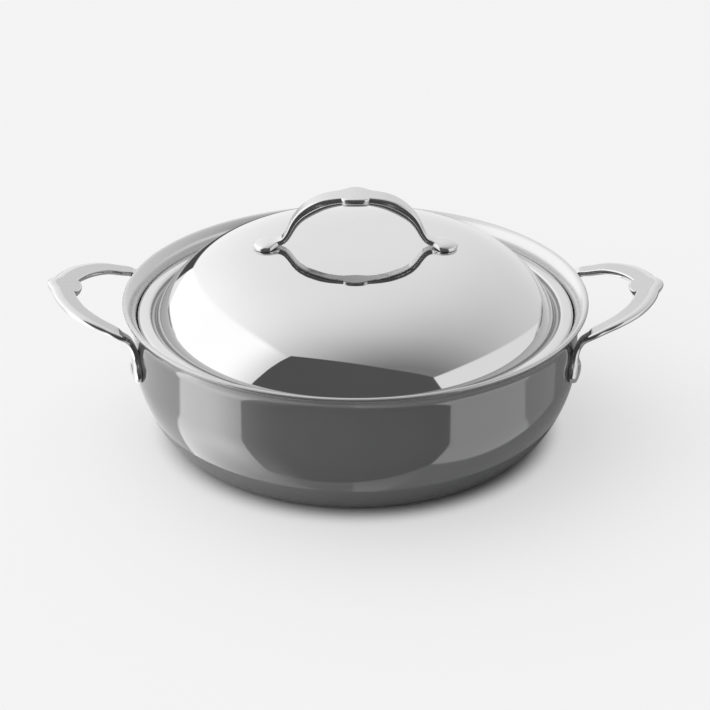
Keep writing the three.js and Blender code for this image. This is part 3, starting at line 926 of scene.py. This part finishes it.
def floor_material():
    """Pale and matt, partly without shade where the camera sees it, and with a darker painted shadow where
    the pot mirrors it.
    """
    tone = grey(FLOOR_TONE)
    material, graph, shader = surface("pale_floor", tone, metallic=0.0, roughness=FLOOR_ROUGHNESS)
    shader.inputs["Specular IOR Level"].default_value = 0.0
    path = graph.node("ShaderNodeLightPath")
    # Painted shadow on the right half of the near floor, seen only in the pot's reflections
    painted_shadow = graph.step(graph.place()[0], -NEAR_FLOOR, 0.0, FLOOR_TONE, MIRRORED_SHADOW_TONE)
    mixed = graph.mix(path.outputs["Is Glossy Ray"], FLOOR_TONE, painted_shadow)
    graph.put(mixed, shader.inputs["Base Color"])
    plain = graph.node("ShaderNodeEmission")
    plain.inputs["Strength"].default_value = FLOOR_TONE
    glow = graph.step(graph.radius_and_height()[0], GLOW_START, GLOW_FULL, 0.0, FLOOR_GLOW)
    seen = graph.math("MULTIPLY", path.outputs["Is Camera Ray"], glow)
    out = shader.outputs[0].links[0].to_socket
    graph.put(graph.choose(seen, shader.outputs[0], plain.outputs[0]), out)
    return material


def build_floor():
    material = floor_material()
    floor_ring("floor_near", FLOOR_MIDDLE, NEAR_FLOOR, material, filled=True)
    far = floor_ring("floor_far", NEAR_FLOOR, FLOOR_REACH, material)
    far.visible_glossy = False


# Studio. Lines are an offset and a slope, and fades are a start, an end and the light at both.

BACKGROUND = 0.95
EPSILON = 1e-3
EDGE_SOFT = 0.015  # half the width over which most edges fade
BORDER_SOFT = 0.02
LOW_SOFT = 0.05
WIDE_SOFT = 0.1
STRIP_SOFT = 0.005

# Even light that falls on matt surfaces
LOW_LIGHT = 0.16  # from the horizon
HIGH_LIGHT = 1.42  # from straight above
SIDE_LIGHT = 1.1  # how much brighter it is on the left, and dimmer on the right
BACK_LIGHT = 0.25  # how much brighter it is at the back, and dimmer in front

# Ceiling and back wall
CEILING_LIGHT = 0.86  # straight above
CEILING_ACROSS = (-0.43, 0.21)  # change with x and with its square
CEILING_BACK = (0.55, -0.32)  # change with y and with its square
CEILING_FRONT = 0.17  # further change with y in front
CEILING_LEAST = 0.28
BACK_WALL = (-0.5, 0.0, 0.75, 1.0)  # fade with z, as a share

# Right panel
RIGHT_TOP = (0.555, -0.49)
RIGHT_START = -0.855
RIGHT_LIGHT = 1.05
RIGHT_BACK = (0.12, 0.9)
RIGHT_BACK_LIGHT = 0.58
RIGHT_LOW = (-1.12, 0.7)
RIGHT_LOW_LIGHT = 0.32

# Left panel
LEFT_TOPS = ((1.27, -0.48), (1.5, -0.62))
LEFT_FRONT = (-0.3, 0.4, 1.3, 0.95)  # fade with z
LEFT_MIDDLE = (-0.4, -0.2, 2.7, 1.55)  # fade with z
LEFT_CHANGE = (-0.75, -0.1)  # where the front part runs into the middle
LEFT_BACK = (0.2, 0.87)
LEFT_BACK_LIGHT = 1.1
LEFT_LOW = (-1.0, -0.63, 0.2, 1.0)  # fade with z, as a share
BACK_BEND = -0.52  # height below which the border of a panel's back part leans back

# Dark strip under the horizon at the back
STRIP_TOP = (-0.31, -0.92)  # rises on the left, level on the right
STRIP_START = 0.915
STRIP_LIGHT = 0.08

# Dark front
FRONT_TOPS = ((1.66, -0.55), (1.58, -0.36))
FRONT_BOTTOM = (-2.87, 0.77)
FRONT_LEFT = (-2.0, 0.25)  # leans in above the upper bend
FRONT_LEAN = 0.22  # and out below the lower one
FRONT_BEND = 1.0  # height of both bends, up and down
FRONT_RIGHT = 1.17
FRONT_LIGHT = 0.115
FRONT_LOW = (-1.9, -0.7, 0.4, 0.065)  # fade from left to right below its middle
FRONT_MIDDLE = -0.1


class Studio:
    """Light by direction, seen from the pot: a bright panel on the left, a dim one on the right, a dark
    front and a soft white ceiling that brightens towards the back. x is to the right, y away from the
    photo's camera and z up. Masks are 1 in an area and 0 outside."""

    def __init__(self, graph):
        self.graph = graph
        self.x, self.y, self.z = graph.place("Generated")
        self.forward = graph.math("MULTIPLY", self.y, -1)
        self.leftward = graph.math("MULTIPLY", self.x, -1)

    def on_wall(self, along, depth):
        """Places along and up a wall that stands one unit away."""
        reach = self.graph.math("MAXIMUM", depth, EPSILON)
        return [self.graph.math("DIVIDE", value, reach) for value in (along, self.z)]

    def facing(self, depth):
        """The side on which a wall stands."""
        return self.graph.step(depth, 0.0, BORDER_SOFT)

    def line(self, offset, slope, value):
        return self.graph.math("MULTIPLY_ADD", value, slope, offset)

    def lines(self, choice, lines, value):
        """The lowest or highest of two lines."""
        return self.graph.math(choice, *[self.line(*line, value) for line in lines])

    def at_most(self, value, limit, soft=EDGE_SOFT):
        """Where a value is no more than a limit, with a soft edge."""
        return self.graph.step(self.graph.math("SUBTRACT", limit, value), -soft, soft)

    def all_of(self, first, *others):
        product = first
        for mask in others:
            product = self.graph.math("MULTIPLY", product, mask)
        return product

    def back_part(self, border, along, up):
        """The part of a side's lower half that lies further back than a border."""
        below = self.graph.math("MAXIMUM", self.line(BACK_BEND, -1.0, up), 0.0)
        behind = self.at_most(self.line(*border, below), along, BORDER_SOFT)
        return self.all_of(self.at_most(up, 0.0, LOW_SOFT), behind)

    def even_light(self):
        graph = self.graph
        around = self.line(self.line(1.0, -SIDE_LIGHT, self.x), BACK_LIGHT, self.y)
        rise = self.line(LOW_LIGHT, HIGH_LIGHT - LOW_LIGHT, graph.math("MAXIMUM", self.z, 0.0))
        return graph.math("MULTIPLY", graph.math("MAXIMUM", around, 0.0), rise)

    def ceiling(self):
        graph = self.graph
        across = graph.math("MULTIPLY", self.x, self.line(*CEILING_ACROSS, self.x))
        back = graph.math("MULTIPLY", self.y, self.line(*CEILING_BACK, self.y))
        front = graph.math("MULTIPLY", graph.math("MINIMUM", self.y, 0.0), CEILING_FRONT)
        light = graph.math("ADD", across, CEILING_LIGHT)
        for change in (back, front):
            light = graph.math("ADD", light, change)
        light = graph.math("MAXIMUM", light, CEILING_LEAST)
        return graph.math("MULTIPLY", light, graph.step(self.z, *BACK_WALL))

    def right_panel(self, light):
        """Dimmer at the back and below."""
        along, up = self.on_wall(self.y, self.x)
        mask = self.all_of(
            self.at_most(up, self.line(*RIGHT_TOP, along)),
            self.at_most(RIGHT_START, along),
            self.facing(self.x),
        )
        level = self.graph.mix(self.back_part(RIGHT_BACK, along, up), RIGHT_LIGHT, RIGHT_BACK_LIGHT)
        low = self.at_most(up, self.line(*RIGHT_LOW, along), LOW_SOFT)
        level = self.graph.mix(low, level, RIGHT_LOW_LIGHT)
        return self.graph.mix(mask, light, level)

    def left_panel(self, light):
        """Brighter towards its back, but for the low part behind a border, and dim far below."""
        graph = self.graph
        along, up = self.on_wall(self.y, self.leftward)
        top = self.lines("MINIMUM", LEFT_TOPS, along)
        mask = self.all_of(self.at_most(up, top, WIDE_SOFT), self.facing(self.leftward))
        front = graph.step(self.z, *LEFT_FRONT)
        middle = graph.step(self.z, *LEFT_MIDDLE)
        level = graph.step(along, *LEFT_CHANGE, front, middle)
        level = graph.mix(self.back_part(LEFT_BACK, along, up), level, LEFT_BACK_LIGHT)
        level = graph.math("MULTIPLY", level, graph.step(self.z, *LEFT_LOW))
        return graph.mix(mask, light, level)

    def back_strip(self, light):
        top = self.graph.math("MAXIMUM", self.line(*STRIP_TOP, self.x), STRIP_TOP[0])
        mask = self.all_of(self.at_most(self.z, top), self.at_most(STRIP_START, self.y, STRIP_SOFT))
        return self.graph.mix(mask, light, STRIP_LIGHT)

    def dark_front(self, light):
        """Darkest below its middle, apart from its left end."""
        graph = self.graph
        across, up = self.on_wall(self.x, self.forward)
        left = self.line(*FRONT_LEFT, graph.math("MAXIMUM", up, FRONT_BEND))
        below = graph.math("MINIMUM", self.line(FRONT_BEND, 1.0, up), 0.0)
        left = graph.math("ADD", left, graph.math("MULTIPLY", below, FRONT_LEAN))
        mask = self.all_of(
            self.at_most(up, self.lines("MAXIMUM", FRONT_TOPS, across)),
            self.at_most(self.line(*FRONT_BOTTOM, across), up, WIDE_SOFT),
            self.at_most(left, across),
            self.at_most(across, FRONT_RIGHT),
            self.facing(self.forward),
        )
        lower = self.at_most(self.z, FRONT_MIDDLE, WIDE_SOFT)
        level = graph.mix(lower, FRONT_LIGHT, graph.step(across, *FRONT_LOW))
        return graph.mix(mask, light, level)


def build_studio():
    """Polished surfaces mirror the studio, matt ones take even light, and the camera sees a plain white."""
    world = bpy.data.worlds.new("studio")
    bpy.context.scene.world = world
    world.use_nodes = True
    graph = Graph(world.node_tree)
    studio = Studio(graph)
    light = studio.ceiling()
    for area in (studio.right_panel, studio.left_panel, studio.back_strip, studio.dark_front):
        light = area(light)
    path = graph.node("ShaderNodeLightPath")
    seen = graph.background(studio.even_light())
    seen = graph.choose(path.outputs["Is Glossy Ray"], seen, graph.background(light))
    seen = graph.choose(path.outputs["Is Camera Ray"], seen, graph.background(BACKGROUND))
    graph.put(seen, graph.node("ShaderNodeOutputWorld").inputs["Surface"])


# Camera

IMAGE_SIDE = 710
FOCAL_PIXELS = 2325.1
SENSOR_WIDTH = 36
LOOK_DOWN = math.radians(26.12)
CAMERA_PLACE = (-0.00026, -1.36407, 0.71815)


def build_camera():
    data = bpy.data.cameras.new("photo_camera")
    data.sensor_width = SENSOR_WIDTH
    data.lens = SENSOR_WIDTH * FOCAL_PIXELS / IMAGE_SIDE
    camera = bpy.data.objects.new("photo_camera", data)
    camera.location = CAMERA_PLACE
    camera.rotation_euler = (math.pi / 2 - LOOK_DOWN, 0, 0)
    bpy.context.scene.collection.objects.link(camera)
    bpy.context.scene.camera = camera


build_pot()
build_side_handles()
build_lid()
build_floor()
build_studio()
build_camera()
bpy.context.scene.view_settings.view_transform = "Standard"
